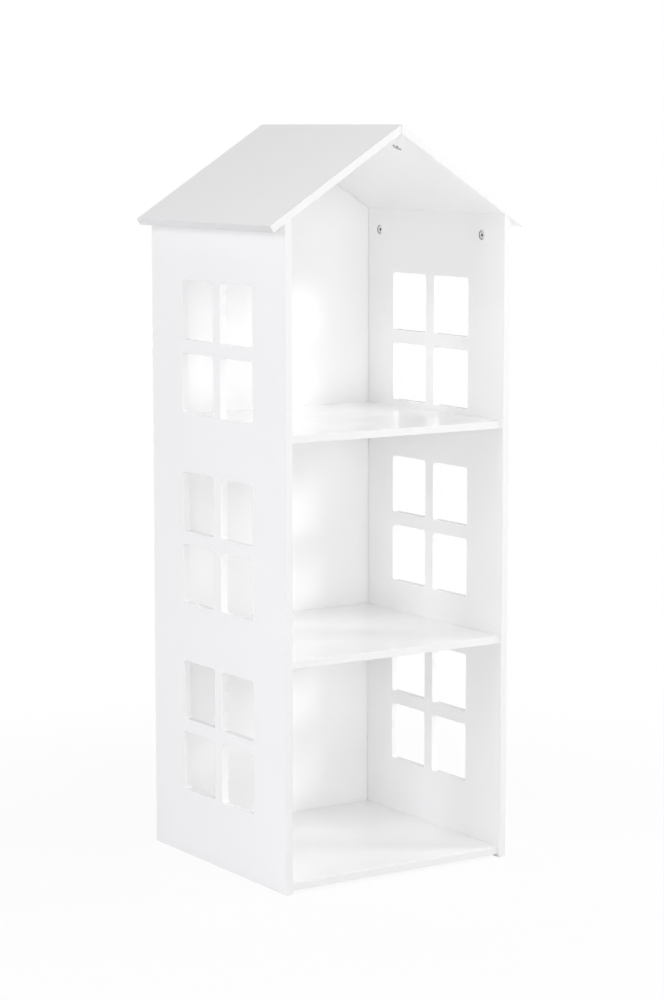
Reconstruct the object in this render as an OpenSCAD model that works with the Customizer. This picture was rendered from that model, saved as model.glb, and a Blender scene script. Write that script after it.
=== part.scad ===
// House shaped bookcase in white lacquered board. Two sides with cut-out windows carry three fixed
// shelves and a pitched roof of two mitred boards, and a thin back panel stands in grooves.
// The boards are held by cams and bolts, with dowels at the shelf ends. At the slanted joints of the
// roof the bolts have a hinge, so that each end runs square or level into its own board.
// The origin is on the floor, in the middle of the bookcase, and the open front faces -Y.

/* [Overall] */
// Height from the floor to the ridge
height = 1200; // [1125:1:1400]
// Clear width between the two sides
inner_w = 404; // [300:1:520]
// Depth of the sides and of the roof boards, front to back
board_d = 410; // [380:1:480]
// Thickness of every board except the back panel
board_t = 12; // [11:0.5:16]

/* [Roof] */
// Slope of the roof in degrees
roof_pitch = 32.3; // [25:0.1:38]
// How far the eaves reach past the sides, measured level
eave_overhang = 28; // [5:1:80]
// How far the roof stands in front of the sides
roof_proud = 1; // [0:0.5:15]

/* [Shelves] */
// Gap between the floor and the bottom shelf
bottom_gap = 5.5; // [0:0.5:60]
// Step from one shelf to the next
shelf_pitch = 353.5; // [300:0.5:420]
// How far the shelves stand behind the front edges of the sides
shelf_setback = 3.5; // [0:0.5:30]

/* [Windows] */
// Width of one pane
pane_w = 97; // [50:1:110]
// Height of one pane
pane_h = 97; // [50:1:105]
// Width of the bars between the panes
bar_w = 22; // [10:1:40]
// Height of the lowest window's bottom edge
window_sill = 109.5; // [40:0.5:150]
// Board left between one window and the next above it
window_gap = 97; // [60:1:110]
// Radius of the panes' corners
pane_corner_r = 5; // [1:0.5:15]

/* [Back panel] */
// Thickness of the back panel
back_t = 3; // [2.5:0.5:5]
// How far the back panel stands in front of the sides' back edges
back_inset = 18.7; // [10:0.1:25]
// Depth of the grooves that hold the back panel
groove_depth = 5; // [3:0.5:6]
// Play of the back panel between the walls of its groove, each side
groove_play = 0.4; // [0.05:0.05:0.5]
// Space left between the back panel's edge and the bottom of its groove
groove_spare = 0.5; // [0.2:0.1:1.5]

/* [Places of the fixings] */
// Distance of the front bolts from the sides' front edges
bolt_front = 61.5; // [50:0.5:68]
// Distance of the back bolts from the sides' back edges
bolt_back = 56.5; // [48:0.5:65]
// Distance from each shelf bolt to its dowel
dowel_offset = 24; // [18:1:28]
// Distance of a shelf's cams from its ends
shelf_cam_set = 34; // [26:0.5:44]
// Distance of the eave cams below the roof, on the side's middle line
eave_cam_set = 32; // [28:0.5:44]
// Distance of the ridge cams from the ridge, on the roof board's middle line
ridge_cam_set = 44.5; // [30:0.5:60]

/* [Cams and bolts] */
// Diameter of a cam
cam_d = 15; // [14:0.5:17]
// How far a cam reaches past the middle of its board
cam_below = 3.7; // [3.5:0.1:4.2]
// How far a cam's face lies below the surface of its board
cam_recess = 0.7; // [0.1:0.1:0.8]
// Least wall of a cam round the bolt's head
cam_wall = 2.5; // [1.8:0.1:3]
// Gap between a cam and the wall of its pocket
cam_play = 0.2; // [0.05:0.05:0.3]
// Length of the cross slot in a cam's face
slot_len = 6.5; // [5:0.5:9]
// Width of the cross slot
slot_w = 2; // [1:0.1:2.2]
// Depth of the cross slot
slot_depth = 1.2; // [0.6:0.1:1.4]
// Diameter of a bolt's thread, which fills its hole
thread_d = 5; // [4:0.5:6]
// Length of a bolt's thread
thread_len = 8; // [6:0.5:9]
// Diameter of a bolt's shank
shank_d = 6; // [5.5:0.1:6.5]
// Gap between a bolt's shank and its bore
bolt_play = 0.5; // [0.3:0.05:0.7]
// Diameter of a bolt's neck
neck_d = 4; // [3:0.1:4.6]
// Diameter of a bolt's head
head_d = 6.5; // [5.5:0.1:7]
// Length of a bolt's head
head_len = 2.6; // [1.8:0.1:3]
// Gap between the bolt's head or neck and the cam
head_play = 0.15; // [0.1:0.05:0.25]

/* [Hinged bolts] */
// Thickness of the tongue in a bolt's hinge
tongue_t = 2; // [1.4:0.1:2.6]
// Width of the bar that carries the tongue
tongue_w = 3; // [2.4:0.1:3.4]
// Diameter of the hinge pin
pin_d = 2; // [1.5:0.1:2.4]
// Gap between the pin and the tongue
pin_play = 0.05; // [0.02:0.01:0.1]
// Gap between the hinge and what it turns beside
hinge_play = 0.3; // [0.15:0.05:0.5]

/* [Dowels and screws] */
// Diameter of a dowel, which fills its hole
dowel_d = 6; // [5:0.5:8]
// Length of a dowel
dowel_len = 26; // [20:1:40]
// Length of a dowel that stands in the side
dowel_in_side = 8; // [6:0.5:9]
// Space left at the end of each blind hole
hole_spare = 1; // [0.5:0.1:1.5]
// Diameter of a back panel screw
screw_d = 3; // [2.5:0.1:3.5]
// Length of a back panel screw
screw_len = 16; // [12:1:25]
// Diameter of a screw's countersunk head
screw_head_d = 5.6; // [5:0.1:6.5]
// Height of a screw's countersunk head
screw_head_h = 1.6; // [1.2:0.1:2]
// Gap between a screw and its hole in the back panel
screw_play = 0.1; // [0.05:0.05:0.3]
// Distance from one back panel screw to the next along a shelf
screw_spacing = 140; // [80:1:145]

/* [Hidden] */

$fn = 48;
over = 1; // how far a cut runs past the face that it starts from

// Shelf levels, from the floor up
BOTTOM = 0;
MIDDLE = 1;
UPPER = 2;
LEVELS = [BOTTOM, MIDDLE, UPPER];

// Finishes
white = [0.95, 0.95, 0.96];
zinc = [0.72, 0.73, 0.75];
steel = [0.62, 0.63, 0.66];
beech = [0.82, 0.68, 0.49];

// Across the bookcase
inner_x = inner_w / 2;
outer_x = inner_x + board_t;
middle_x = inner_x + board_t / 2;
eave_x = outer_x + eave_overhang;

// From front to back
roof_front = -(board_d + roof_proud) / 2;
side_front = roof_front + roof_proud;
side_back = side_front + board_d;
back_front = side_back - back_inset - back_t;
shelf_front = side_front + shelf_setback;
bolt_places = [side_front + bolt_front, side_back - bolt_back];
dowel_places = [bolt_places[0] + dowel_offset, bolt_places[1] - dowel_offset];

// Windows
window_w = 2 * pane_w + bar_w;
window_h = 2 * pane_h + bar_w;
window_front = (side_front + side_back - window_w) / 2;

// Fixings
bore_d = shank_d + 2 * bolt_play;
ball_r = bore_d / 2 - hinge_play;
hinge_reach = ball_r + hinge_play;
hinge_drop = hinge_reach / cos(roof_pitch);
chamber_r = cam_d / 2 - cam_wall;
grip_shift = sqrt(pow(chamber_r, 2) - pow(head_d / 2, 2)) - head_len;

// Height of the roof's underside at a distance x from the middle
function roof_under(x) = height - board_t / cos(roof_pitch) - x * tan(roof_pitch);

// Height of a shelf's underside
function shelf_z(level) = bottom_gap + level * shelf_pitch;

// ---- Shared shapes and places ----

// An outline in X and Z, drawn out along Y
module along_depth(from, length) {
    translate([0, from + length, 0])
        rotate([90, 0, 0])
            linear_extrude(length)
                children();
}

// A round bar along X
module rod(from, to, d) {
    translate([from, 0, 0])
        rotate([0, 90, 0])
            cylinder(h = to - from, d = d);
}

module rounded_pane() {
    r = pane_corner_r;
    translate([r, 0]) square([pane_w - 2 * r, pane_h]);
    translate([0, r]) square([pane_w, pane_h - 2 * r]);
    for (x = [r, pane_w - r], y = [r, pane_h - r])
        translate([x, y]) circle(r);
}

module both_sides() {
    children();
    mirror([1, 0, 0]) children();
}

// Each place below has its X axis along the fixing, into the board that holds the cam or the dowel's
// long end, with X = 0 at the joint, and its Z axis towards the face that the cam is turned from.

// Right-hand end of a shelf
module at_shelf_end(level, places) {
    for (y = places)
        translate([inner_x, y, shelf_z(level) + board_t / 2])
            rotate([0, 180, 0])
                children();
}

// Top end of the right-hand side
module at_side_top() {
    for (y = bolt_places)
        translate([middle_x, y, roof_under(middle_x)])
            rotate([180, 90, 0])
                children();
}

// Right-hand roof board: X runs down the slope from the underside's peak and Z is square to the board
module on_roof() {
    translate([0, 0, roof_under(0)])
        rotate([0, roof_pitch, 0])
            children();
}

// Mitre of the right-hand roof board, at the ridge
module at_ridge() {
    on_roof()
        for (y = bolt_places)
            translate([-board_t / 2 * tan(roof_pitch), y, board_t / 2])
                rotate([180, 0, 0])
                    children();
}

// Hinge of the right-hand eave joint, with X square into the roof board
module at_eave_hinge() {
    on_roof()
        for (y = bolt_places)
            translate([middle_x / cos(roof_pitch) + hinge_drop * sin(roof_pitch), y, -hinge_reach])
                rotate([0, -90, 0])
                    children();
}

module at_back_screws(level) {
    for (step = [-1, 0, 1])
        translate([step * screw_spacing, back_front + back_t, shelf_z(level) + board_t / 2])
            rotate([90, 0, 0])
                children();
}

// ---- Holes ----

module cam_pocket(set) {
    translate([set, 0, -cam_below])
        cylinder(h = board_t / 2 + cam_below + over, d = cam_d + 2 * cam_play);
}

// The bore starts before the joint, so that it also opens a slanted end fully
module bolt_bore(set) {
    rod(-bore_d, set, bore_d);
}

module cam_and_bolt_holes(set) {
    cam_pocket(set);
    bolt_bore(set);
}

module windows() {
    for (floor = LEVELS, row = [0, 1], column = [0, 1])
        translate([
            inner_x - over,
            window_front + column * (pane_w + bar_w),
            window_sill + floor * (window_h + window_gap) + row * (pane_h + bar_w),
        ])
            rotate([90, 0, 90])
                linear_extrude(board_t + 2 * over)
                    rounded_pane();
}

module side_groove() {
    translate([inner_x - over, back_front - groove_play, -over])
        cube([groove_depth + over, back_t + 2 * groove_play, height]);
}

// Stops over the side's top end, so that it doesn't show from outside
module roof_groove() {
    on_roof()
        translate([-board_t, back_front - groove_play, -over])
            cube([
                board_t + middle_x / cos(roof_pitch),
                back_t + 2 * groove_play,
                groove_depth + over,
            ]);
}

// ---- Fixings ----

// A cam, with the bolt coming from -X and its head at the cam's middle
module cam(set) {
    face = board_t / 2 - cam_recess;
    translate([set, 0, 0])
        difference() {
            translate([0, 0, -cam_below])
                cylinder(h = cam_below + face, d = cam_d);
            // chamber that the head turns in, off centre so that its wall pulls the head
            translate([grip_shift, 0, -cam_below - over])
                cylinder(h = cam_below + over + head_d / 2 + head_play, r = chamber_r);
            // slot half way round, which the neck slides along as the cam is turned
            translate([-cam_d, -cam_d, -neck_d / 2 - head_play])
                cube([2 * cam_d, cam_d + neck_d / 2 + head_play, neck_d + 2 * head_play]);
            // way in for the head
            rod(0, cam_d, head_d + head_play);
            // cross slot for the screwdriver
            for (turn = [45, 135])
                translate([0, 0, face])
                    rotate([0, 0, turn])
                        cube([slot_len, slot_w, 2 * slot_depth], center = true);
        }
}

module bolt_tip(from, set) {
    shank_end = set - cam_d / 2 - bolt_play;
    rod(from, shank_end, shank_d);
    rod(shank_end, set - head_len, neck_d);
    rod(set - head_len, set, head_d);
}

module shelf_bolt() {
    rod(-thread_len, 0, thread_d);
    bolt_tip(0, shelf_cam_set);
}

module dowel() {
    rod(-dowel_in_side, dowel_len - dowel_in_side, dowel_d);
}

module hinge_pin(d, length) {
    rotate([90, 0, 0])
        cylinder(h = length, d = d, center = true);
}

// Tongue of a hinge: a slice of a ball at the pivot, and a bar along X
module tongue() {
    difference() {
        union() {
            intersection() {
                sphere(ball_r);
                cube([2 * ball_r, tongue_t, 2 * ball_r], center = true);
            }
            translate([0, -tongue_t / 2, -tongue_w / 2])
                cube([hinge_reach, tongue_t, tongue_w]);
        }
        hinge_pin(pin_d + 2 * pin_play, bore_d);
    }
}

// Bolt with a fork round the tongue, with the pivot at X = pivot
module fork_bolt(pivot, set) {
    difference() {
        union() {
            translate([pivot, 0, 0]) sphere(ball_r);
            bolt_tip(pivot, set);
        }
        translate([pivot, 0, 0]) {
            hinge_pin(2 * hinge_reach, tongue_t + 2 * hinge_play);
            hinge_pin(pin_d, bore_d);
        }
    }
}

module tongue_bolt(set) {
    tongue();
    bolt_tip(hinge_reach, set);
}

module eave_stud() {
    tongue();
    rod(hinge_reach, hinge_reach + thread_len, thread_d);
}

// Origin at the middle of the head's flat top, pointing along +Z
module back_screw(play) {
    cylinder(h = screw_head_h, d1 = screw_head_d, d2 = screw_d);
    cylinder(h = screw_len, d = screw_d + 2 * play);
}

// ---- Boards ----

module side_panel() {
    difference() {
        along_depth(side_front, board_d)
            polygon([
                [inner_x, 0],
                [outer_x, 0],
                [outer_x, roof_under(outer_x)],
                [inner_x, roof_under(inner_x)],
            ]);
        windows();
        side_groove();
        for (level = LEVELS) {
            at_shelf_end(level, bolt_places)
                rod(-thread_len - hole_spare, over, thread_d);
            at_shelf_end(level, dowel_places)
                rod(-dowel_in_side - hole_spare, over, dowel_d);
        }
        at_side_top() cam_and_bolt_holes(eave_cam_set);
    }
}

module roof_board() {
    slope = tan(roof_pitch);
    end_x = eave_x - board_t * sin(roof_pitch);
    difference() {
        along_depth(roof_front, board_d)
            polygon([
                [0, roof_under(0)],
                [end_x, roof_under(end_x)],
                [eave_x, height - eave_x * slope],
                [0, height],
            ]);
        roof_groove();
        at_ridge() cam_and_bolt_holes(ridge_cam_set);
        at_eave_hinge()
            rod(hinge_reach - over, hinge_reach + thread_len + hole_spare, thread_d);
    }
}

module shelf(level) {
    dowel_hole_end = dowel_len - dowel_in_side + hole_spare;
    color(white)
        difference() {
            translate([-inner_x, shelf_front, shelf_z(level)])
                cube([inner_w, back_front - shelf_front, board_t]);
            both_sides() {
                at_shelf_end(level, bolt_places) cam_and_bolt_holes(shelf_cam_set);
                at_shelf_end(level, dowel_places) rod(-over, dowel_hole_end, dowel_d);
            }
            at_back_screws(level) back_screw(0);
        }
}

module left_side_panel() {
    color(white) mirror([1, 0, 0]) side_panel();
}

module right_side_panel() {
    color(white) side_panel();
}

module left_roof_board() {
    color(white) mirror([1, 0, 0]) roof_board();
}

module right_roof_board() {
    color(white) roof_board();
}

module back_panel() {
    edge_x = inner_x + groove_depth - groove_spare;
    rise = (groove_depth - groove_spare) / cos(roof_pitch);
    color(white)
        difference() {
            along_depth(back_front, back_t)
                polygon([
                    [-edge_x, bottom_gap],
                    [edge_x, bottom_gap],
                    [edge_x, roof_under(edge_x) + rise],
                    [0, roof_under(0) + rise],
                    [-edge_x, roof_under(edge_x) + rise],
                ]);
            for (level = LEVELS)
                at_back_screws(level) back_screw(screw_play);
        }
}

// ---- Fixings of the shelves ----

module shelf_cams(level) {
    color(zinc) both_sides() at_shelf_end(level, bolt_places) cam(shelf_cam_set);
}

module shelf_bolts(level) {
    color(steel) both_sides() at_shelf_end(level, bolt_places) shelf_bolt();
}

module shelf_dowels(level) {
    color(beech) both_sides() at_shelf_end(level, dowel_places) dowel();
}

module back_panel_screws() {
    color(steel)
        for (level = LEVELS)
            at_back_screws(level) back_screw(0);
}

// ---- Fixings of the roof ----

module right_eave_cams() {
    color(zinc) at_side_top() cam(eave_cam_set);
}

module left_eave_cams() {
    mirror([1, 0, 0]) right_eave_cams();
}

module right_eave_studs() {
    color(steel) at_eave_hinge() eave_stud();
}

module left_eave_studs() {
    mirror([1, 0, 0]) right_eave_studs();
}

module right_eave_bolts() {
    color(steel) at_side_top() fork_bolt(hinge_drop, eave_cam_set);
}

module left_eave_bolts() {
    mirror([1, 0, 0]) right_eave_bolts();
}

module right_eave_hinge_pins() {
    color(steel) at_eave_hinge() hinge_pin(pin_d, 2 * (ball_r - hinge_play));
}

module left_eave_hinge_pins() {
    mirror([1, 0, 0]) right_eave_hinge_pins();
}

module right_ridge_cams() {
    color(zinc) at_ridge() cam(ridge_cam_set);
}

module left_ridge_cams() {
    mirror([1, 0, 0]) right_ridge_cams();
}

module right_ridge_bolts() {
    color(steel) at_ridge() tongue_bolt(ridge_cam_set);
}

module left_ridge_bolts() {
    color(steel) mirror([1, 0, 0]) at_ridge() fork_bolt(0, ridge_cam_set);
}

module ridge_hinge_pins() {
    color(steel) at_ridge() hinge_pin(pin_d, 2 * (ball_r - hinge_play));
}

left_side_panel();
right_side_panel();
left_roof_board();
right_roof_board();
back_panel();
shelf(UPPER);  // upper_shelf
shelf(MIDDLE);  // middle_shelf
shelf(BOTTOM);  // bottom_shelf
shelf_cams(UPPER);  // upper_shelf_cams
shelf_cams(MIDDLE);  // middle_shelf_cams
shelf_cams(BOTTOM);  // bottom_shelf_cams
shelf_bolts(UPPER);  // upper_shelf_bolts
shelf_bolts(MIDDLE);  // middle_shelf_bolts
shelf_bolts(BOTTOM);  // bottom_shelf_bolts
shelf_dowels(UPPER);  // upper_shelf_dowels
shelf_dowels(MIDDLE);  // middle_shelf_dowels
shelf_dowels(BOTTOM);  // bottom_shelf_dowels
left_eave_cams();
right_eave_cams();
left_eave_studs();
right_eave_studs();
left_eave_bolts();
right_eave_bolts();
left_eave_hinge_pins();
right_eave_hinge_pins();
left_ridge_cams();
right_ridge_cams();
left_ridge_bolts();
right_ridge_bolts();
ridge_hinge_pins();
back_panel_screws();
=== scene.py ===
import math

import bmesh
import bpy
from mathutils import Matrix, Vector


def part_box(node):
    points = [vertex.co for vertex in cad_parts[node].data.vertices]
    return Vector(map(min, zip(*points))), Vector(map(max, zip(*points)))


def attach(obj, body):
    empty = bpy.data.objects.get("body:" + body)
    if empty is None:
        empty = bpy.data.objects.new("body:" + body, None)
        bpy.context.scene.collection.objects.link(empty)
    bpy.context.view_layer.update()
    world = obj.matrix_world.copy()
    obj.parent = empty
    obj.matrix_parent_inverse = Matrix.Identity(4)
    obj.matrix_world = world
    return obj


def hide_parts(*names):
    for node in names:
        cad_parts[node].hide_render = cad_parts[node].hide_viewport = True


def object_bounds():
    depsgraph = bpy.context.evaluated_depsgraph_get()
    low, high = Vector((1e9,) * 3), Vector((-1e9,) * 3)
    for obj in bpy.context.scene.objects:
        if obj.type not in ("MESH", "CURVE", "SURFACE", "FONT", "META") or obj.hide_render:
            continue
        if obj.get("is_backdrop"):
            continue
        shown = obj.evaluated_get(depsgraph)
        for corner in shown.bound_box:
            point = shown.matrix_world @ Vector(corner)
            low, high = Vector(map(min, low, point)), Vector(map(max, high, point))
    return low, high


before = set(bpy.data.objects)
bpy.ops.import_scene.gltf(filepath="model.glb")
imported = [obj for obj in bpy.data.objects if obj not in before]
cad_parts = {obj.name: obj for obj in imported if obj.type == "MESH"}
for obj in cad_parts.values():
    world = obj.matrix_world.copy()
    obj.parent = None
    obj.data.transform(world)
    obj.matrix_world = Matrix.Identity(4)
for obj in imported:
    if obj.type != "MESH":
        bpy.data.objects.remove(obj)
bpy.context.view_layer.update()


# ---- Side panels ----
# Two sides of 12 mm fibreboard, sawn and routed from one sheet each. The router cuts every pane of
# the three windows through the board with a corner radius left by the cutter, the sheet's arrises
# are sanded round, and the whole board is sprayed with white lacquer.

SIDES = ((-1.0, "left"), (1.0, "right"))
ROOF_PITCH = math.radians(32.3)
ROOF_SLOPE = math.tan(ROOF_PITCH)
PANE = 0.097
BAR = 0.022
WINDOW_SILL = 0.1095
WINDOW_GAP = 0.097
PANE_CORNER = 0.005
PANE_COLUMNS = 2
PANE_ROWS = 2
STOREYS = 3
CORNER_POINTS = 8
TOP_BAND = 0.001
WELD_REACH = 0.00001
ARRIS = 0.0006
ARRIS_STEPS = 3
ARRIS_ANGLE = math.radians(35)
BOARD_CREASE = math.radians(50)
ROUND_SIDES = 64
FLAT_LIMIT = 0.9
SILL_LIMIT = 0.5
OPENING_INSET = 0.05

LACQUER_WHITE = (0.960, 0.959, 0.961, 1.0)
# the edges' white is darker than the faces' only as painted shade on the board edges
EDGE_SHADED_WHITE = (0.720, 0.719, 0.722, 1.0)
# the window reveals' white is darker than the faces' only as painted shade in the openings
OPENING_SHADED_WHITE = (0.890, 0.889, 0.892, 1.0)
RAW_BOARD = (0.24, 0.205, 0.165, 1.0)
RAW_FIBRE = (0.16, 0.135, 0.105, 1.0)


def fill(tree, node, values):
    """Fills a node's inputs, each by a number, a colour or another node's socket."""
    for key, value in dict(values).items():
        if isinstance(value, bpy.types.NodeSocket):
            tree.links.new(value, node.inputs[key])
        else:
            node.inputs[key].default_value = value


def add(tree, kind, values=(), **settings):
    """A new node with its inputs filled. The settings are the node's own options."""
    made = tree.nodes.new(kind)
    for name, value in settings.items():
        setattr(made, name, value)
    fill(tree, made, values)
    return made


def reckon(tree, operation, *values):
    """The result of one Math node."""
    return add(tree, "ShaderNodeMath", enumerate(values), operation=operation).outputs[0]


def open_group(kind, name, inputs, outputs):
    """An empty node group, with its inputs and outputs as pairs of a name and a socket type."""
    group = bpy.data.node_groups.new(name, kind)
    for in_out, sockets in (("INPUT", inputs), ("OUTPUT", outputs)):
        for title, socket in sockets:
            group.interface.new_socket(title, in_out=in_out, socket_type="NodeSocket" + socket)
    return group


def finish_group(name, inputs):
    """An empty shader group that puts out a colour, a roughness and a normal."""
    return open_group("ShaderNodeTree", name, inputs,
                      (("Color", "Color"), ("Roughness", "Float"), ("Normal", "Vector")))


def start_material(name):
    """A new material, with its tree and its Principled shader."""
    material = bpy.data.materials.new(name)
    material.use_nodes = True
    return material, material.node_tree, material.node_tree.nodes["Principled BSDF"]


def put_finish(tree, shader, group, values):
    """Places a finish's group in a material with its own values, and joins it to the shader."""
    finish = add(tree, "ShaderNodeGroup", values, node_tree=group)
    fill(tree, shader, {
        "Base Color": finish.outputs["Color"], "Roughness": finish.outputs["Roughness"],
        "Normal": finish.outputs["Normal"]})


def lacquer_group():
    """Sprayed lacquer: a faint orange peel, a soft waviness of the board and uneven gloss."""
    group = finish_group("sprayed_lacquer", (
        ("Tint", "Color"), ("Peel Size", "Float"), ("Peel Depth", "Float"), ("Gloss Low", "Float"),
        ("Gloss High", "Float")))
    given = add(group, "NodeGroupInput").outputs
    place = add(group, "ShaderNodeTexCoord").outputs["Object"]
    cloud = add(group, "ShaderNodeTexNoise", {"Vector": place, "Scale": 6.0, "Detail": 3.0})
    shade = add(group, "ShaderNodeMapRange", {
        "Value": cloud.outputs["Fac"], "From Min": 0.3, "From Max": 0.7, "To Min": 0.993, "To Max": 1.004})
    tint = add(group, "ShaderNodeVectorMath", {0: given["Tint"], 1: shade.outputs[0]},
               operation="MULTIPLY")
    gloss = add(group, "ShaderNodeTexNoise", {"Vector": place, "Scale": 22.0, "Detail": 4.0})
    rough = add(group, "ShaderNodeMapRange", {
        "Value": gloss.outputs["Fac"], "From Min": 0.3, "From Max": 0.7,
        "To Min": given["Gloss Low"], "To Max": given["Gloss High"]})
    peel = add(group, "ShaderNodeTexNoise", {
        "Vector": place, "Scale": given["Peel Size"], "Detail": 2.0, "Roughness": 0.45})
    wave = add(group, "ShaderNodeTexNoise", {"Vector": place, "Scale": 14.0, "Detail": 1.0})
    wave_bump = add(group, "ShaderNodeBump", {
        "Height": wave.outputs["Fac"], "Strength": 1.0, "Distance": 0.00002})
    bump = add(group, "ShaderNodeBump", {
        "Height": peel.outputs["Fac"], "Strength": 1.0, "Distance": given["Peel Depth"],
        "Normal": wave_bump.outputs["Normal"]})
    add(group, "NodeGroupOutput", {
        "Color": tint.outputs[0], "Roughness": rough.outputs[0], "Normal": bump.outputs["Normal"]})
    return group


def lacquer(name, values):
    """White lacquer. Cut edges drink it, so they are rougher and duller than the broad faces. The darker
    tints of the copies for edges and openings are painted shade.
    """
    material, tree, shader = start_material(name)
    fill(tree, shader, {"IOR": 1.5})
    put_finish(tree, shader, sprayed_lacquer, values)
    return material


sprayed_lacquer = lacquer_group()
face_lacquer = lacquer("face_lacquer", {
    "Tint": LACQUER_WHITE, "Peel Size": 420.0, "Peel Depth": 0.000006,
    "Gloss Low": 0.17, "Gloss High": 0.20})
# painted shade: the edges' lacquer is tinted darker than the faces'
shaded_edge_lacquer = lacquer("shaded_edge_lacquer", {
    "Tint": EDGE_SHADED_WHITE, "Peel Size": 900.0, "Peel Depth": 0.000016,
    "Gloss Low": 0.30, "Gloss High": 0.40})
# painted shade: the window reveals' lacquer is tinted darker than the faces'
shaded_opening_lacquer = lacquer("shaded_opening_lacquer", {
    "Tint": OPENING_SHADED_WHITE, "Peel Size": 900.0, "Peel Depth": 0.000012,
    "Gloss Low": 0.26, "Gloss High": 0.34})


def two_tone(tree, factor, low, high, span):
    """A colour that runs from low to high while the factor goes through the span."""
    color = add(tree, "ShaderNodeValToRGB", {"Fac": factor})
    for element, tint, position in zip(color.color_ramp.elements, (low, high), span):
        element.position = position
        element.color = tint
    return color.outputs["Color"]


def raw_fibreboard():
    """The bare board that a drill leaves: short brown fibres, with no gloss."""
    material, tree, shader = start_material("raw_fibreboard")
    place = add(tree, "ShaderNodeTexCoord").outputs["Object"]
    fibre = add(tree, "ShaderNodeTexNoise", {"Vector": place, "Scale": 1600.0, "Detail": 4.0})
    bump = add(tree, "ShaderNodeBump", {"Height": fibre.outputs["Fac"], "Distance": 0.00005})
    fill(tree, shader, {
        "Base Color": two_tone(tree, fibre.outputs["Fac"], RAW_FIBRE, RAW_BOARD, (0.35, 0.65)),
        "Roughness": 0.9, "Normal": bump.outputs["Normal"]})
    return material


raw_board = raw_fibreboard()


def mesh_group(name, inputs):
    """An empty Geometry Nodes group, with a mesh in and out."""
    mesh = ("Geometry", "Geometry")
    return open_group("GeometryNodeTree", name, (mesh, *inputs), (mesh,))


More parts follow.
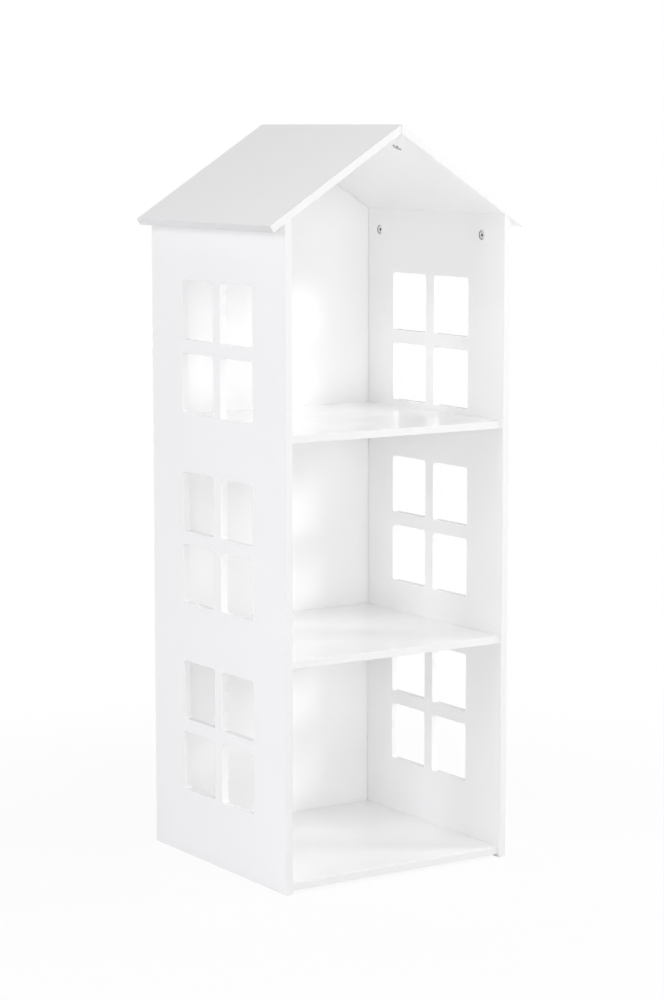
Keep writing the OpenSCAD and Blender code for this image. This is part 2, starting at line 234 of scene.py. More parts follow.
def windowed_side_group():
    """A side panel: an outline with a grid of round-cornered panes, filled and drawn to a board."""
    lengths = ("Inner X", "Board", "Front", "Depth", "Height", "Slope", "Pane", "Bar", "Sill",
               "Window Gap", "Corner")
    group = mesh_group("windowed_side", (
        *((name, "Float") for name in lengths), ("Hand", "Float"), ("Finish", "Material")))
    given = add(group, "NodeGroupInput").outputs

    def calc(operation, *values):
        return reckon(group, operation, *values)

    outline = add(group, "GeometryNodeCurvePrimitiveQuadrilateral",
                  {"Width": given["Depth"], "Height": given["Height"]})
    middle = calc("MULTIPLY_ADD", given["Depth"], 0.5, given["Front"])
    half_height = calc("MULTIPLY", given["Height"], 0.5)
    outline = add(group, "GeometryNodeTransform", {
        "Geometry": outline.outputs[0],
        "Translation": add(group, "ShaderNodeCombineXYZ", {"X": middle, "Y": half_height}).outputs[0]})

    # pane number: column counts fastest, then row, then storey
    number = add(group, "GeometryNodeInputIndex").outputs[0]
    column = calc("MODULO", number, PANE_COLUMNS)
    row = calc("MODULO", calc("FLOOR", calc("DIVIDE", number, PANE_COLUMNS)), PANE_ROWS)
    storey = calc("FLOOR", calc("DIVIDE", number, PANE_COLUMNS * PANE_ROWS))
    step = calc("ADD", given["Pane"], given["Bar"])
    storey_step = calc("ADD", calc("ADD", step, given["Pane"]), given["Window Gap"])
    across = calc("MULTIPLY_ADD", calc("SUBTRACT", column, 0.5), step, middle)
    first_row = calc("MULTIPLY_ADD", given["Pane"], 0.5, given["Sill"])
    up = calc("MULTIPLY_ADD", row, step, calc("MULTIPLY_ADD", storey, storey_step, first_row))
    places = add(group, "GeometryNodePoints", {
        "Count": PANE_COLUMNS * PANE_ROWS * STOREYS,
        "Position": add(group, "ShaderNodeCombineXYZ", {"X": across, "Y": up}).outputs[0]})
    pane = add(group, "GeometryNodeCurvePrimitiveQuadrilateral",
               {"Width": given["Pane"], "Height": given["Pane"]})
    pane = add(group, "GeometryNodeFilletCurve", {
        "Curve": pane.outputs[0], "Count": CORNER_POINTS, "Radius": given["Corner"]}, mode="POLY")
    panes = add(group, "GeometryNodeInstanceOnPoints",
                {"Points": places.outputs[0], "Instance": pane.outputs[0]})
    panes = add(group, "GeometryNodeRealizeInstances", {0: panes.outputs[0]})
    curves = add(group, "GeometryNodeJoinGeometry", {0: outline.outputs[0]})
    group.links.new(panes.outputs[0], curves.inputs[0])
    sheet = add(group, "GeometryNodeFillCurve", {"Curve": curves.outputs[0]}, mode="TRIANGLES")

    board = add(group, "GeometryNodeExtrudeMesh", {
        "Mesh": sheet.outputs[0], "Offset Scale": given["Board"], "Individual": False}, mode="FACES")
    inner = add(group, "GeometryNodeFlipFaces", {0: sheet.outputs[0]})
    shell = add(group, "GeometryNodeJoinGeometry", {0: board.outputs[0]})
    group.links.new(inner.outputs[0], shell.inputs[0])
    shell = add(group, "GeometryNodeMergeByDistance",
                {"Geometry": shell.outputs[0], "Distance": WELD_REACH})

    # stand the sheet up, and lift its top end to the slope of the roof
    at = add(group, "ShaderNodeSeparateXYZ", {0: add(group, "GeometryNodeInputPosition").outputs[0]})
    top = calc("GREATER_THAN", at.outputs["Y"], calc("SUBTRACT", given["Height"], TOP_BAND))
    from_outside = calc("SUBTRACT", given["Board"], at.outputs["Z"])
    lift = calc("MULTIPLY", calc("MULTIPLY", from_outside, given["Slope"]), top)
    stand = add(group, "ShaderNodeCombineXYZ", {
        "X": calc("MULTIPLY", calc("ADD", given["Inner X"], at.outputs["Z"]), given["Hand"]),
        "Y": at.outputs["X"], "Z": calc("ADD", at.outputs["Y"], lift)})
    shell = add(group, "GeometryNodeSetPosition",
                {"Geometry": shell.outputs[0], "Position": stand.outputs[0]})
    mirrored = add(group, "FunctionNodeCompare", {0: given["Hand"], 1: 0.0},
                   data_type="FLOAT", operation="LESS_THAN")
    shell = add(group, "GeometryNodeFlipFaces", {0: shell.outputs[0], 1: mirrored.outputs[0]})
    shell = add(group, "GeometryNodeRealizeInstances", {0: shell.outputs[0]})
    shell = add(group, "GeometryNodeSetMaterial",
                {"Geometry": shell.outputs[0], "Material": given["Finish"]})
    add(group, "NodeGroupOutput", {0: shell.outputs[0]})
    return group


def new_piece(name):
    """An empty piece at the origin."""
    piece = bpy.data.objects.new(name, bpy.data.meshes.new(name))
    bpy.context.collection.objects.link(piece)
    return piece


def shaped_piece(name, shape, material=None):
    """A piece with this shape, which is used up."""
    piece = new_piece(name)
    shape.to_mesh(piece.data)
    shape.free()
    if material:
        piece.data.materials.append(material)
    return piece


def settle(piece):
    """Turns the piece with its modifiers into a plain mesh."""
    bpy.context.view_layer.update()
    shaped = piece.evaluated_get(bpy.context.evaluated_depsgraph_get())
    mesh = bpy.data.meshes.new_from_object(shaped)
    piece.modifiers.clear()
    piece.data = mesh
    mesh.name = piece.name


def run_tree(piece, group, values):
    """Puts the tree on the piece with its inputs set, and leaves the result as a plain mesh."""
    modifier = piece.modifiers.new("build", "NODES")
    modifier.node_group = group
    for item in group.interface.items_tree:
        if item.in_out == "INPUT" and item.name in values:
            modifier[item.identifier] = values[item.name]
    settle(piece)


def soften(piece, sanded, radius=ARRIS, steps=ARRIS_STEPS):
    """Sands the arrises round at the sharp edges that the test called sanded takes."""
    shape = bmesh.new()
    shape.from_mesh(piece.data)
    edges = [edge for edge in shape.edges
             if edge.calc_face_angle(0.0) > ARRIS_ANGLE and sanded(*(v.co for v in edge.verts))]
    bmesh.ops.bevel(shape, geom=edges, offset=radius, offset_type="OFFSET", segments=steps,
                    profile=0.5, affect="EDGES", clamp_overlap=True)
    shape.to_mesh(piece.data)
    shape.free()


def drill(shape, centre, axis, radius, depth, end_radius=None):
    """A round cutter in shape, from centre along the axis, straight or tapered to its end."""
    axis = Vector(axis).normalized()
    turn = axis.to_track_quat("Z", "Y").to_matrix().to_4x4()
    place = Matrix.Translation(Vector(centre) + axis * depth / 2) @ turn
    bmesh.ops.create_cone(shape, cap_ends=True, segments=ROUND_SIDES, radius1=radius,
                          radius2=radius if end_radius is None else end_radius,
                          depth=depth, matrix=place)


def block(shape, low, high, turn=Matrix.Identity(4)):
    """A square cutter or board in shape, between two corners, then turned."""
    low, high = Vector(low), Vector(high)
    place = turn @ Matrix.Translation((low + high) / 2) @ Matrix.Diagonal((*(high - low), 1.0))
    bmesh.ops.create_cube(shape, size=1.0, matrix=place)


def cut(piece, cutters, inside=None):
    """Takes the cutters out of the piece. The cut faces get the material called inside."""
    tool = shaped_piece("cutters", cutters, inside)
    boolean = piece.modifiers.new("cut", "BOOLEAN")
    boolean.object = tool
    boolean.solver = "EXACT"
    boolean.use_self = True
    boolean.material_mode = "TRANSFER"
    settle(piece)
    bpy.data.objects.remove(tool)


def finish_board(piece, broad, node):
    """Lacquers the board, its sills like its faces and its edges and reveals in darker painted shade,
    leaves drilled holes bare, and fixes it.
    """
    broad = Vector(broad).normalized()
    mesh = piece.data
    low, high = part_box(node)
    kinds = []
    for polygon in mesh.polygons:
        place = polygon.center
        opening = min(place.y - low.y, high.y - place.y, place.z - low.z, high.z - place.z) > OPENING_INSET
        sill = opening and polygon.normal.z > SILL_LIMIT
        flat = abs(polygon.normal.dot(broad)) > FLAT_LIMIT
        bare = mesh.materials[polygon.material_index] == raw_board
        # edges and window reveals take the darker lacquers, which paint shade on them
        kinds.append(3 if bare else 0 if flat or sill else 2 if opening else 1)
    mesh.materials.clear()
    for material in (face_lacquer, shaded_edge_lacquer, shaded_opening_lacquer, raw_board):
        mesh.materials.append(material)
    mesh.polygons.foreach_set("material_index", kinds)
    mesh.shade_smooth()
    mesh.set_sharp_from_angle(angle=BOARD_CREASE)
    weighted = piece.modifiers.new("weights", "WEIGHTED_NORMAL")
    weighted.keep_sharp = True
    weighted.weight = 100
    settle(piece)
    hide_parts(node)
    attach(piece, "root")


def fixing_rows(node, facing, radius, height):
    """Reads a node of like fixings: the front one's face, the steps along X and Y, and the counts."""
    low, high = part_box(node)
    middle = (low + high) / 2
    level = abs(facing.z) > 0.999
    first = Vector((low.x + radius if level else middle.x, low.y + radius, middle.z))
    along = Vector((high.x - low.x - 2 * radius if level else 0.0, 0.0, 0.0))
    across = Vector((0.0, high.y - low.y - 2 * radius, 0.0))
    return first + facing * height / 2, along, across, 2 if level else 1, 2


def pocket_cutters(node, facing):
    """Round cutters for the pockets of a node's cams, from outside the face into the board."""
    face, along, across, along_count, across_count = fixing_rows(node, facing, CAM_RADIUS, CAM_HEIGHT)
    cutters = bmesh.new()
    for i in range(along_count):
        for j in range(across_count):
            start = face + along * i + across * j + facing * POCKET_REACH
            drill(cutters, start, -facing, CAM_RADIUS + CAM_GAP, POCKET_REACH + CAM_HEIGHT)
    return cutters


CAM_GAP = 0.0003
POCKET_REACH = 0.005
cam_low, cam_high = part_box("right_eave_cams")
CAM_RADIUS = (cam_high.z - cam_low.z) / 2
CAM_HEIGHT = cam_high.x - cam_low.x
GROOVE_PLAY = 0.0004
GROOVE_DEPTH = 0.005
groove_low, groove_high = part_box("back_panel")
windowed_side = windowed_side_group()
for hand, side in SIDES:
    low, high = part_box(f"{side}_side_panel")
    board = high.x - low.x
    inner_x = min(abs(low.x), abs(high.x))
    panel = new_piece(f"{side}_side")
    run_tree(panel, windowed_side, {
        "Inner X": inner_x, "Board": board, "Front": low.y, "Depth": high.y - low.y,
        "Height": high.z - board * ROOF_SLOPE, "Slope": ROOF_SLOPE, "Pane": PANE, "Bar": BAR,
        "Sill": WINDOW_SILL, "Window Gap": WINDOW_GAP, "Corner": PANE_CORNER, "Hand": hand,
        "Finish": face_lacquer})
    under_roof = high.z - 2 * board * ROOF_SLOPE
    soften(panel, lambda a, b: min(a.z, b.z) < under_roof)
    cutters = pocket_cutters(f"{side}_eave_cams", Vector((-hand, 0, 0)))
    ends = sorted((hand * (inner_x - board), hand * abs(groove_high.x)))
    block(cutters, (ends[0], groove_low.y - GROOVE_PLAY, low.z - board),
          (ends[1], groove_high.y + GROOVE_PLAY, high.z + board))
    cut(panel, cutters, raw_board)
    finish_board(panel, (1, 0, 0), f"{side}_side_panel")


# ---- Dowels and bolts of the shelves ----
# Beech dowels and zinc-plated steel bolts stand in each side's inner face before the shelves go on.
# The bolts are screwed into the board and the dowels are pressed and glued.

LEVELS = ("bottom", "middle", "upper")
STEEL = (0.58, 0.59, 0.62, 1.0)
BEECH = (0.66, 0.46, 0.27, 1.0)
BEECH_DARK = (0.50, 0.31, 0.16, 1.0)


def dress(node, material):
    """Gives its material to a piece that is right as it is."""
    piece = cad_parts[node]
    piece.data.materials.clear()
    piece.data.materials.append(material)


def plated_steel():
    """Steel with bright zinc plating, of a fine uneven grain."""
    material, tree, shader = start_material("plated_steel")
    place = add(tree, "ShaderNodeTexCoord").outputs["Object"]
    grain = add(tree, "ShaderNodeTexNoise", {"Vector": place, "Scale": 900.0, "Detail": 3.0})
    rough = add(tree, "ShaderNodeMapRange", {
        "Value": grain.outputs["Fac"], "To Min": 0.28, "To Max": 0.46})
    bump = add(tree, "ShaderNodeBump", {"Height": grain.outputs["Fac"], "Distance": 0.00001})
    fill(tree, shader, {
        "Metallic": 1.0, "Base Color": STEEL, "Roughness": rough.outputs[0],
        "Normal": bump.outputs["Normal"]})
    return material


def dowel_beech():
    """Beech, with its grain and short dark flecks along the dowel."""
    material, tree, shader = start_material("dowel_beech")
    place = add(tree, "ShaderNodeTexCoord").outputs["Object"]
    along = add(tree, "ShaderNodeMapping", {"Vector": place, "Scale": (60.0, 900.0, 900.0)})
    grain = add(tree, "ShaderNodeTexNoise", {
        "Vector": along.outputs["Vector"], "Scale": 1.0, "Detail": 4.0})
    bump = add(tree, "ShaderNodeBump", {"Height": grain.outputs["Fac"], "Distance": 0.00008})
    fill(tree, shader, {
        "Base Color": two_tone(tree, grain.outputs["Fac"], BEECH_DARK, BEECH, (0.35, 0.6)),
        "Roughness": 0.62, "Normal": bump.outputs["Normal"]})
    return material


steel = plated_steel()
beech = dowel_beech()
for level in LEVELS:
    dress(f"{level}_shelf_bolts", steel)
    dress(f"{level}_shelf_dowels", beech)


# ---- Shelves ----
# Three boards of the same sheet between the sides, a few millimetres behind their front edges.
# They are pulled against the sides by cams let into their undersides.

for level in LEVELS:
    low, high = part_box(f"{level}_shelf")
    front = low.y + ARRIS
    shape = bmesh.new()
    block(shape, low, high)
    shelf = shaped_piece(f"{level}_shelf_board", shape, face_lacquer)
    soften(shelf, lambda a, b: max(a.y, b.y) < front and a.z == b.z)
    cut(shelf, pocket_cutters(f"{level}_shelf_cams", Vector((0, 0, -1))), raw_board)
    finish_board(shelf, (0, 0, 1), f"{level}_shelf")


# ---- Back panel ----
# One thin lacquered hardboard sheet with a gable top, slid into grooves in the sides and screwed
# to the back edges of the shelves.

SHEET_ARRIS = 0.0003
SHEET_ARRIS_STEPS = 2
SCREW_HEAD_RADIUS = 0.0028
SCREW_HEAD_HEIGHT = 0.0016
SCREW_RADIUS = 0.0015
SCREW_HOLE_RADIUS = SCREW_RADIUS * 1.2
SCREW_PLAY = 0.0001
SCREW_COLUMNS = 3
SCREW_ROWS = 3
SINK_SLOPE = (SCREW_HEAD_RADIUS - SCREW_RADIUS) / SCREW_HEAD_HEIGHT
SINK_REACH = 0.0004


def drawn_back(outline, depth):
    """A board's shape, from its front outline straight back."""
    shape = bmesh.new()
    end = shape.faces.new([shape.verts.new(corner) for corner in outline])
    drawn = bmesh.ops.extrude_face_region(shape, geom=[end])["geom"]
    bmesh.ops.translate(shape, verts=[v for v in drawn if isinstance(v, bmesh.types.BMVert)],
                        vec=(0, depth, 0))
    bmesh.ops.recalc_face_normals(shape, faces=shape.faces)
    return shape


def screw_cutters(reach, radius, depth, end_radius=None):
    """Cutters at all screws, from this far behind the back panel towards the front."""
    cutters = bmesh.new()
    for column in range(SCREW_COLUMNS):
        for row in range(SCREW_ROWS):
            place = screw_first + screw_along * column + screw_up * row + Vector((0, reach, 0))
            drill(cutters, place, (0, -1, 0), radius, depth, end_radius)
    return cutters


low, high = groove_low, groove_high
sheet = high.y - low.y
shoulder = high.z - high.x * ROOF_SLOPE
gable = ((low.x, low.z), (high.x, low.z), (high.x, shoulder), (0.0, high.z), (low.x, shoulder))
back = shaped_piece("back_sheet", drawn_back([(x, low.y, z) for x, z in gable], sheet), face_lacquer)
soften(back, lambda a, b: True, SHEET_ARRIS, SHEET_ARRIS_STEPS)
screw_low, screw_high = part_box("back_panel_screws")
screw_first = Vector((screw_low.x + SCREW_HEAD_RADIUS, high.y, screw_low.z + SCREW_HEAD_RADIUS))
screw_along = Vector(((screw_high.x - screw_low.x - 2 * SCREW_HEAD_RADIUS) / (SCREW_COLUMNS - 1), 0, 0))
screw_up = Vector((0, 0, (screw_high.z - screw_low.z - 2 * SCREW_HEAD_RADIUS) / (SCREW_ROWS - 1)))
cut(back, screw_cutters(0.0, SCREW_HOLE_RADIUS, 2 * sheet), raw_board)
cut(back, screw_cutters(SINK_REACH, SCREW_HEAD_RADIUS + (SINK_REACH + SCREW_PLAY) * SINK_SLOPE,
                        SINK_REACH + SCREW_HEAD_HEIGHT, SCREW_RADIUS + SCREW_PLAY * SINK_SLOPE), raw_board)
finish_board(back, (0, 1, 0), "back_panel")


# ---- Roof boards ----
# Two boards mitred along the ridge and cut square at the eaves. Each rests on the sloped top end of
# its side, and the joint at the ridge shows as a fine line.

RIDGE_GAP = 0.00024
ridge_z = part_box("right_roof_board")[1].z
top = Vector((0, 0, ridge_z))
run = Vector((math.cos(ROOF_PITCH), 0, -math.sin(ROOF_PITCH)))
rise = Vector((math.sin(ROOF_PITCH), 0, math.cos(ROOF_PITCH)))
for hand, side in SIDES:
    low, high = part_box(f"{side}_roof_board")
    eave_x = max(abs(low.x), abs(high.x))
    eave = top + run * eave_x / math.cos(ROOF_PITCH)
    peak = top + run * RIDGE_GAP / 2 / math.cos(ROOF_PITCH)
    inner_peak = peak - Vector((0, 0, board / math.cos(ROOF_PITCH)))
    inner_eave = eave - rise * board
    outline = [(hand * p.x, low.y, p.z) for p in (inner_peak, inner_eave, eave, peak)]
    roof = shaped_piece(f"{side}_roof", drawn_back(outline, high.y - low.y), face_lacquer)
    soften(roof, lambda a, b: True)
    outward = Vector((-hand * rise.x, 0, -rise.z))
    cutters = pocket_cutters(f"{side}_ridge_cams", outward)
    tilt = Matrix.Translation((0, 0, inner_peak.z)) @ Matrix.Rotation(hand * ROOF_PITCH, 4, "Y")
    ends = sorted((-hand * board, hand * (inner_x + board / 2) / math.cos(ROOF_PITCH)))
    block(cutters, (ends[0], groove_low.y - GROOVE_PLAY, -board),
          (ends[1], groove_high.y + GROOVE_PLAY, GROOVE_DEPTH), tilt)
    cut(roof, cutters, raw_board)
    finish_board(roof, outward, f"{side}_roof_board")


# ---- Hinged bolts of the roof ----
# At the slanted joints of the roof each bolt has a hinge with a pin, so that both ends run straight
# into their own board. They are zinc-plated steel, like the straight bolts of the shelves.

for hand, side in SIDES:
    for name in ("eave_studs", "eave_bolts", "eave_hinge_pins", "ridge_bolts"):
        dress(f"{side}_{name}", steel)
dress("ridge_hinge_pins", steel)


# ---- Cams ----
# Round cams of die-cast zinc, let into pockets of the boards. A screwdriver in the cross recess turns
# each one half round, and its spiral pulls the bolt's head and closes the joint.

CAM_RIM = 0.0008
CAM_RING = (0.0053, 0.0060)
CAM_RING_DEPTH = 0.00015
CAM_CROSS = (0.0030, 0.0010)
CAM_CROSS_FOOT = (0.0024, 0.0007)
CAM_CROSS_DEPTH = 0.0032
CAM_CENTRE = (0.0021, 0.0014)
CAM_TURN = math.radians(33)
CAM_SPREAD = math.radians(9)
FIXING_CREASE = math.radians(30)
CROSS_ABOVE = 0.2
ZINC = (0.79, 0.79, 0.80, 1.0)


def lathe(shape, profile, sides=ROUND_SIDES):
    """Turns a profile of (radius, height) pairs round Z. A radius of 0 closes it."""
    rings = []
    for radius, height in profile:
        count = sides if radius else 1
        rings.append([shape.verts.new((radius * math.cos(math.tau * k / sides),
                                       radius * math.sin(math.tau * k / sides), height))
                      for k in range(count)])
    for upper, lower in zip(rings, rings[1:]):
        for k in range(sides):
            corners = [upper[k % len(upper)], lower[k % len(lower)],
                       lower[(k + 1) % len(lower)], upper[(k + 1) % len(upper)]]
            shape.faces.new(list(dict.fromkeys(corners)))
    bmesh.ops.recalc_face_normals(shape, faces=shape.faces)


def cross_cutter(wing, foot, depth, centre, turn=0.0):
    """Cutter for a cross recess: two tapered blades and a tapered middle, from just above Z = 0."""
    above = depth * CROSS_ABOVE
    cutter = bmesh.new()
    for quarter in (0, 1):
        spin = Matrix.Rotation(turn + quarter * math.pi / 2, 3, "Z")
        corners = []
        for (long, thick), z in ((wing, above), (foot, -depth)):
            corners.append([cutter.verts.new(spin @ Vector((x * long, y * thick, z)))
                            for x, y in ((-1, -1), (1, -1), (1, 1), (-1, 1))])
        cutter.faces.new(corners[0])
        cutter.faces.new(corners[1][::-1])
        for k in range(4):
            cutter.faces.new((corners[0][k], corners[1][k],
                              corners[1][(k + 1) % 4], corners[0][(k + 1) % 4]))
    drill(cutter, (0, 0, above), (0, 0, -1), centre[0], depth + above, centre[1])
    bmesh.ops.recalc_face_normals(cutter, faces=cutter.faces)
    return cutter


def fixing_rows_group():
    """Sets like fixings in rows, each turned a little differently, and keeps their own places."""
    group = mesh_group("fixings_in_rows", (
        ("First", "Vector"), ("Along", "Vector"), ("Across", "Vector"), ("Count Along", "Int"),
        ("Count Across", "Int"), ("Facing", "Vector"), ("Spread", "Float"), ("Seed", "Int"),
        ("Finish", "Material")))
    given = add(group, "NodeGroupInput").outputs
    number = add(group, "GeometryNodeInputIndex").outputs[0]
    along = reckon(group, "MODULO", number, given["Count Along"])
    across = reckon(group, "FLOOR", reckon(group, "DIVIDE", number, given["Count Along"]))
    step = add(group, "ShaderNodeVectorMath", {0: given["Along"], "Scale": along}, operation="SCALE")
    row = add(group, "ShaderNodeVectorMath", {0: given["Across"], "Scale": across}, operation="SCALE")
    place = add(group, "ShaderNodeVectorMath", {0: given["First"], 1: step.outputs[0]})
    place = add(group, "ShaderNodeVectorMath", {0: place.outputs[0], 1: row.outputs[0]})
    points = add(group, "GeometryNodePoints", {
        "Count": reckon(group, "MULTIPLY", given["Count Along"], given["Count Across"]),
        "Position": place.outputs[0]})
    own = add(group, "GeometryNodeStoreNamedAttribute", {
        "Geometry": given["Geometry"], "Name": "own_place",
        "Value": add(group, "GeometryNodeInputPosition").outputs[0]},
        data_type="FLOAT_VECTOR", domain="POINT")
    spin = add(group, "FunctionNodeRandomValue", {
        "Min": reckon(group, "MULTIPLY", given["Spread"], -1.0), "Max": given["Spread"],
        "ID": number, "Seed": given["Seed"]}, data_type="FLOAT")
    turned = add(group, "FunctionNodeRotateRotation", {
        "Rotation": given["Facing"],
        "Rotate By": add(group, "ShaderNodeCombineXYZ", {"Z": spin.outputs["Value"]}).outputs[0]},
        rotation_space="LOCAL")
    rows = add(group, "GeometryNodeInstanceOnPoints", {
        "Points": points.outputs[0], "Instance": own.outputs[0], "Rotation": turned.outputs[0]})
    rows = add(group, "GeometryNodeRealizeInstances", {0: rows.outputs[0]})
    rows = add(group, "GeometryNodeSetMaterial",
               {"Geometry": rows.outputs[0], "Material": given["Finish"]})
    add(group, "NodeGroupOutput", {0: rows.outputs[0]})
    return group


def turned_group():
    """Marks on a small round fixing: fine rings and grain, and painted shade that darkens its recess."""
    group = finish_group("turned_marks_and_recess_shade", (
        ("Ring Step", "Float"), ("Depth", "Float"), ("Rough Low", "Float"), ("Rough High", "Float"),
        ("Tint", "Color")))
    given = add(group, "NodeGroupInput").outputs
    own = add(group, "ShaderNodeAttribute", attribute_name="own_place").outputs["Vector"]
    flat = add(group, "ShaderNodeVectorMath", {0: own, 1: (1.0, 1.0, 0.0)}, operation="MULTIPLY")
    radius = add(group, "ShaderNodeVectorMath", {0: flat.outputs[0]}, operation="LENGTH")
    wave = reckon(group, "SINE", reckon(group, "DIVIDE", radius.outputs["Value"], given["Ring Step"]))
    place = add(group, "ShaderNodeTexCoord").outputs["Object"]
    grain = add(group, "ShaderNodeTexNoise", {"Vector": place, "Scale": 1400.0, "Detail": 3.0})
    height = reckon(group, "MULTIPLY_ADD", wave, 0.3, grain.outputs["Fac"])
    rough = add(group, "ShaderNodeMapRange", {
        "Value": grain.outputs["Fac"], "From Min": 0.3, "From Max": 0.7,
        "To Min": given["Rough Low"], "To Max": given["Rough High"]})
    stain = add(group, "ShaderNodeTexNoise", {"Vector": place, "Scale": 260.0, "Detail": 2.0})
    shade = add(group, "ShaderNodeMapRange", {
        "Value": stain.outputs["Fac"], "From Min": 0.3, "From Max": 0.7, "To Min": 0.93, "To Max": 1.03})
    # painted shade: the colour darkens with depth in the middle of the fixing, to 4 % at the bottom of the
    # cross recess
    sunk = add(group, "ShaderNodeSeparateXYZ", {0: own}).outputs["Z"]
    depth = add(group, "ShaderNodeMapRange", {
        "Value": sunk, "From Min": -0.0008, "From Max": -0.0001, "To Min": 0.04, "To Max": 1.0})
    inside = add(group, "ShaderNodeMapRange", {
        "Value": radius.outputs["Value"], "From Min": 0.0038, "From Max": 0.0044,
        "To Min": depth.outputs[0], "To Max": 1.0})
    shade = reckon(group, "MULTIPLY", shade.outputs[0], inside.outputs[0])
    tint = add(group, "ShaderNodeVectorMath", {0: given["Tint"], 1: shade}, operation="MULTIPLY")
    bump = add(group, "ShaderNodeBump", {"Height": height, "Distance": given["Depth"]})
    add(group, "NodeGroupOutput", {
        "Color": tint.outputs[0], "Roughness": rough.outputs[0], "Normal": bump.outputs["Normal"]})
    return group


def turned_metal(name, values):
    """Bare metal with the marks of a turned fixing and painted shade in its recess."""
    material, tree, shader = start_material(name)
    fill(tree, shader, {"Metallic": 1.0})
    put_finish(tree, shader, turned_marks_and_recess_shade, values)
    return material


def set_in_rows(piece, rows, facing, finish, spread, seed, node):
    """Repeats the fixing in the piece over its rows, smooths it and fixes the piece."""
    first, along, across, count_along, count_across = rows
    run_tree(piece, in_rows, {
        "First": first, "Along": along, "Across": across, "Count Along": count_along,
        "Count Across": count_across, "Facing": facing, "Spread": spread, "Seed": seed,
        "Finish": finish})
    piece.data.shade_smooth()
    piece.data.set_sharp_from_angle(angle=FIXING_CREASE)
    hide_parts(node)
    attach(piece, "root")


in_rows = fixing_rows_group()
turned_marks_and_recess_shade = turned_group()
cast_zinc = turned_metal("cast_zinc", {
    "Tint": ZINC, "Ring Step": 0.00006, "Depth": 0.00001, "Rough Low": 0.26, "Rough High": 0.40})

cam_sets = [(f"{level}_shelf_cams", Vector((0, 0, -1)), (math.pi, 0, 0)) for level in LEVELS]
for hand, side in SIDES:
    cam_sets.append((f"{side}_eave_cams", Vector((-hand, 0, 0)), (0, -hand * math.pi / 2, 0)))
    cam_sets.append((f"{side}_ridge_cams", Vector((-hand * rise.x, 0, -rise.z)),
                     (0, math.pi + hand * ROOF_PITCH, 0)))
for number, (node, facing, turn) in enumerate(cam_sets):
    shape = bmesh.new()
    lathe(shape, (
        (0, 0), (CAM_RING[0], 0), (CAM_RING[0] + CAM_RING_DEPTH, -CAM_RING_DEPTH),
        (CAM_RING[1] - CAM_RING_DEPTH, -CAM_RING_DEPTH), (CAM_RING[1], 0),
        (CAM_RADIUS - CAM_RIM, 0), (CAM_RADIUS, -CAM_RIM), (CAM_RADIUS, -CAM_HEIGHT), (0, -CAM_HEIGHT)))
    cam = shaped_piece(f"{node}_turned", shape)
    cut(cam, cross_cutter(CAM_CROSS, CAM_CROSS_FOOT, CAM_CROSS_DEPTH, CAM_CENTRE, CAM_TURN))
    set_in_rows(cam, fixing_rows(node, facing, CAM_RADIUS, CAM_HEIGHT), turn, cast_zinc, CAM_SPREAD,
                number, node)


# ---- Back panel screws ----
# Countersunk zinc-plated screws with a cross recess, driven through the back panel into the rear
# edges of the shelves, three to a shelf.

SCREW_LENGTH = 0.016
SCREW_SUNK = 0.00008
SCREW_RIM = 0.00015
SCREW_SIDES = 48
SCREW_CROSS = (0.0015, 0.0004)
SCREW_CROSS_FOOT = (0.0009, 0.00025)
SCREW_CROSS_DEPTH = 0.0011
SCREW_CENTRE = (0.00075, 0.0004)
SCREW_SEED = 7
PLATED = (0.60, 0.61, 0.635, 1.0)

plated_screw = turned_metal("plated_screw", {
    "Tint": PLATED, "Ring Step": 0.00004, "Depth": 0.000006, "Rough Low": 0.22, "Rough High": 0.36})
shape = bmesh.new()
lathe(shape, (
    (0, 0), (SCREW_HEAD_RADIUS - SCREW_RIM, 0), (SCREW_HEAD_RADIUS, -SCREW_RIM),
    (SCREW_RADIUS, -SCREW_HEAD_HEIGHT), (SCREW_RADIUS, -SCREW_LENGTH + SCREW_RADIUS), (0, -SCREW_LENGTH)),
    SCREW_SIDES)
screw = shaped_piece("back_panel_screws_turned", shape)
cut(screw, cross_cutter(SCREW_CROSS, SCREW_CROSS_FOOT, SCREW_CROSS_DEPTH, SCREW_CENTRE))
screw_rows = (screw_first - Vector((0, SCREW_SUNK, 0)), screw_along, screw_up, SCREW_COLUMNS, SCREW_ROWS)
set_in_rows(screw, screw_rows, (-math.pi / 2, 0, 0), plated_screw, math.pi, SCREW_SEED,
            "back_panel_screws")


# ---- Floor, light and camera ----
# A plain white studio: a pale floor that keeps the soft shadow, large softboxes on all sides, and the
# camera where the photograph was taken from. The camera sees floor and backdrop as almost white.

FLOOR_RADIUS = 6.0
FLOOR_SIDES = 96
FLOOR_PAINT = (0.87, 0.87, 0.87, 1.0)
FLOOR_WHITE = 0.9
FLOOR_FADE = (0.45, 1.5)
ROOM_LEVEL = 0.32
GLOSSY_SHARE = 0.5
WHITE = (1.0, 1.0, 1.0, 1.0)
COOL = (0.973, 0.955, 1.0)
PLAIN = (1.0, 1.0, 1.0)
LAMP_TARGET = Vector((0, 0, 0.6))
# name: degrees to the right of the front, degrees up, distance, width, watts, colour
SOFTBOXES = {
    "front_left": (-30, 0, 5.0, 2.5, 63.5, PLAIN),
    "front": (0, 0, 5.0, 2.5, 35.0, PLAIN),
    "front_right": (30, 0, 5.0, 2.5, 11.5, PLAIN),
    "front_high": (0, 45, 5.0, 2.5, 75.0, PLAIN),
    "left": (-90, 20, 5.0, 2.5, 68.0, COOL),
    "left_high": (-90, 45, 5.0, 2.5, 16.0, COOL),
    "right": (61, 15, 3.0, 0.9, 39.0, PLAIN),
    "right_high": (90, 45, 5.0, 2.5, 8.0, PLAIN),
    "back": (180, 0, 3.2, 1.4, 34.5, PLAIN),
}


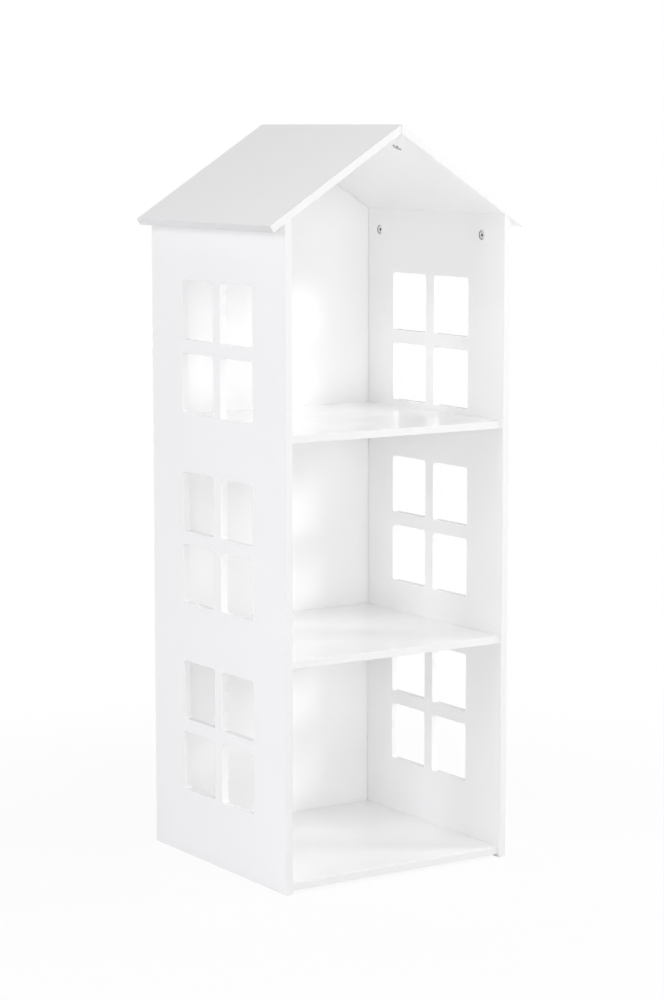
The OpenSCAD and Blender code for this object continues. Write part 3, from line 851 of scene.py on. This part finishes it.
def seen_white(tree):
    """How fully a ray meets the white background: in full straight or through glass, else mirrored."""
    rays = add(tree, "ShaderNodeLightPath").outputs
    straight = reckon(tree, "MAXIMUM", rays["Is Camera Ray"], rays["Is Transmission Ray"])
    mirrored = reckon(tree, "MULTIPLY", rays["Is Glossy Ray"], GLOSSY_SHARE)
    return reckon(tree, "MAXIMUM", mirrored, straight)


scene = bpy.context.scene
scene.view_settings.view_transform = "Standard"

floor_paint, tree, shader = start_material("floor_paint")
fill(tree, shader, {"Base Color": FLOOR_PAINT, "Roughness": 0.9, "Specular IOR Level": 0.0})
glow = add(tree, "ShaderNodeEmission", {"Color": WHITE, "Strength": 1.0})
place = add(tree, "ShaderNodeTexCoord").outputs["Object"]
reach = add(tree, "ShaderNodeVectorMath", {0: place}, operation="LENGTH")
fade = add(tree, "ShaderNodeMapRange", {
    "Value": reach.outputs["Value"], "From Min": FLOOR_FADE[0], "From Max": FLOOR_FADE[1],
    "To Min": FLOOR_WHITE, "To Max": 1.0}, interpolation_type="SMOOTHSTEP")
seen = reckon(tree, "MULTIPLY", fade.outputs[0], seen_white(tree))
mix = add(tree, "ShaderNodeMixShader", {0: seen, 1: shader.outputs[0], 2: glow.outputs[0]})
fill(tree, tree.nodes["Material Output"], {"Surface": mix.outputs[0]})
shape = bmesh.new()
bmesh.ops.create_circle(shape, cap_ends=True, segments=FLOOR_SIDES, radius=FLOOR_RADIUS)
floor = shaped_piece("floor", shape, floor_paint)
floor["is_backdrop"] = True

world = bpy.data.worlds.new("studio")
scene.world = world
world.use_nodes = True
tree = world.node_tree
room = tree.nodes["Background"]
fill(tree, room, {"Color": WHITE, "Strength": ROOM_LEVEL})
backdrop = add(tree, "ShaderNodeBackground", {"Color": WHITE, "Strength": 1.0})
mix = add(tree, "ShaderNodeMixShader", {0: seen_white(tree), 1: room.outputs[0], 2: backdrop.outputs[0]})
fill(tree, tree.nodes["World Output"], {"Surface": mix.outputs[0]})

for name, (azimuth, elevation, distance, width, power, color) in SOFTBOXES.items():
    lamp = bpy.data.lights.new(name, "AREA")
    lamp.size = width
    lamp.energy = power
    lamp.color = color
    holder = bpy.data.objects.new(name, lamp)
    turn, lift = math.radians(azimuth), math.radians(elevation)
    out = Vector((math.sin(turn) * math.cos(lift), -math.cos(turn) * math.cos(lift), math.sin(lift)))
    holder.location = LAMP_TARGET + out * distance
    holder.rotation_euler = out.to_track_quat("Z", "Y").to_euler()
    bpy.context.collection.objects.link(holder)

IMAGE_HEIGHT = 1000
FOCAL_PIXELS = 2766.3
SENSOR_WIDTH = 36.0
CAMERA_PLACE = (-2.4762, -3.7661, 1.1972)
CAMERA_YAW = math.radians(33.386)
CAMERA_PITCH = math.radians(7.699)
camera_data = bpy.data.cameras.new("camera")
camera_data.sensor_width = SENSOR_WIDTH
camera_data.lens = FOCAL_PIXELS / IMAGE_HEIGHT * SENSOR_WIDTH
camera = bpy.data.objects.new("camera", camera_data)
camera.location = CAMERA_PLACE
camera.rotation_euler = (math.pi / 2 - CAMERA_PITCH, 0.0, -CAMERA_YAW)
bpy.context.collection.objects.link(camera)
scene.camera = camera

low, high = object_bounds()
